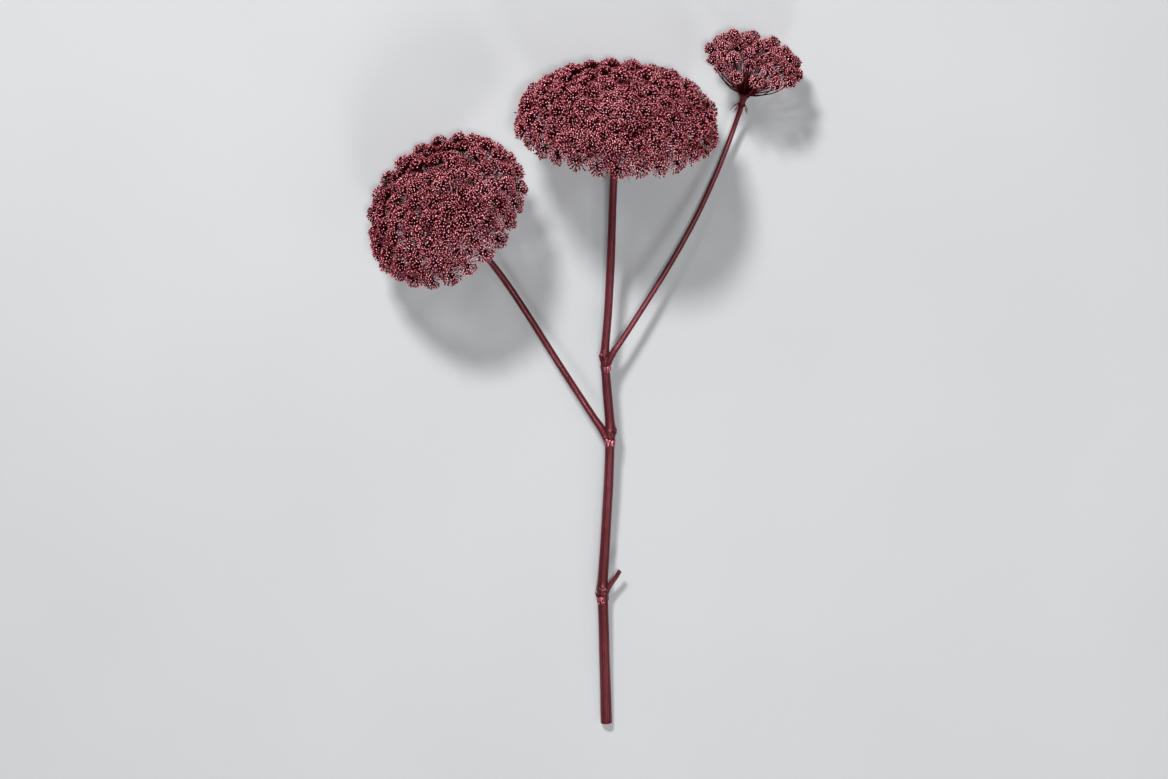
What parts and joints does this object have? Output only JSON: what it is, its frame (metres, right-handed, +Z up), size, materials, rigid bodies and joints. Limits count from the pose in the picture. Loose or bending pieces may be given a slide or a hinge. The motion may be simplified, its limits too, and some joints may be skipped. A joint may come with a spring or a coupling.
{
  "type": "queen annes lace flower",
  "caption": "Painted cut stem of lace flower laid flat: a ribbed stem with side shoots, broad domed umbels of slender rays ending in round seed heads, and a young cup-shaped umbel.",
  "frame": {"origin": "bottom centre of the bounding box: the surface that the flower lies on, halfway along it and halfway across", "axes": "+Y along the stem from its cut end towards the umbels, +Z up off the surface, +X towards the young cup-shaped umbel"},
  "size_m": [0.4398, 0.7202, 0.1811],
  "materials": {
    "stem_paint": "ribbed green stem, dipped in dusty rose satin paint with a faint pearl sheen",
    "umbel_paint": "thin rays and small seed heads under the same dusty rose satin paint, lighter where it is thick",
    "disc_paint": "darker burgundy, matte, where the rays leave the stem's end",
    "bract_paint": "thin dry threads under satin dusty rose paint"
  },
  "bodies": {
    "root": {"leaf_base_left": "stem_paint", "leaf_base_lower": "stem_paint", "leaf_base_right": "stem_paint", "left_bracts": "bract_paint", "left_branch": "stem_paint", "left_centre_umbellets": "umbel_paint", "left_disc": "disc_paint", "left_inner_umbellets_1": "umbel_paint", "left_inner_umbellets_2": "umbel_paint", "left_rim_umbellets_1": "umbel_paint", "left_rim_umbellets_2": "umbel_paint", "left_rim_umbellets_3": "umbel_paint", "left_rim_umbellets_4": "umbel_paint", "left_rim_umbellets_5": "umbel_paint", "left_second_umbellets_1": "umbel_paint", "left_second_umbellets_2": "umbel_paint", "left_second_umbellets_3": "umbel_paint", "left_second_umbellets_4": "umbel_paint", "left_third_umbellets_1": "umbel_paint", "left_third_umbellets_2": "umbel_paint", "left_third_umbellets_3": "umbel_paint", "main_bracts": "bract_paint", "main_centre_umbellets": "umbel_paint", "main_disc": "disc_paint", "main_fourth_umbellets_1": "umbel_paint", "main_fourth_umbellets_2": "umbel_paint", "main_fourth_umbellets_3": "umbel_paint", "main_inner_umbellets_1": "umbel_paint", "main_inner_umbellets_2": "umbel_paint", "main_rim_umbellets_1": "umbel_paint", "main_rim_umbellets_2": "umbel_paint", "main_rim_umbellets_3": "umbel_paint", "main_rim_umbellets_4": "umbel_paint", "main_rim_umbellets_5": "umbel_paint", "main_rim_umbellets_6": "umbel_paint", "main_second_umbellets_1": "umbel_paint", "main_second_umbellets_2": "umbel_paint", "main_second_umbellets_3": "umbel_paint", "main_second_umbellets_4": "umbel_paint", "main_second_umbellets_5": "umbel_paint", "main_stem": "stem_paint", "main_third_umbellets_1": "umbel_paint", "main_third_umbellets_2": "umbel_paint", "main_third_umbellets_3": "umbel_paint", "main_third_umbellets_4": "umbel_paint", "right_bracts": "bract_paint", "right_branch": "stem_paint", "right_disc": "disc_paint", "right_inner_umbellets_1": "umbel_paint", "right_inner_umbellets_2": "umbel_paint", "right_rim_umbellets_1": "umbel_paint", "right_rim_umbellets_2": "umbel_paint", "right_rim_umbellets_3": "umbel_paint", "right_rim_umbellets_4": "umbel_paint", "right_second_umbellets_1": "umbel_paint", "right_second_umbellets_2": "umbel_paint", "right_second_umbellets_3": "umbel_paint", "trimmed_shoot": "stem_paint"}
  },
  "joints": []
}
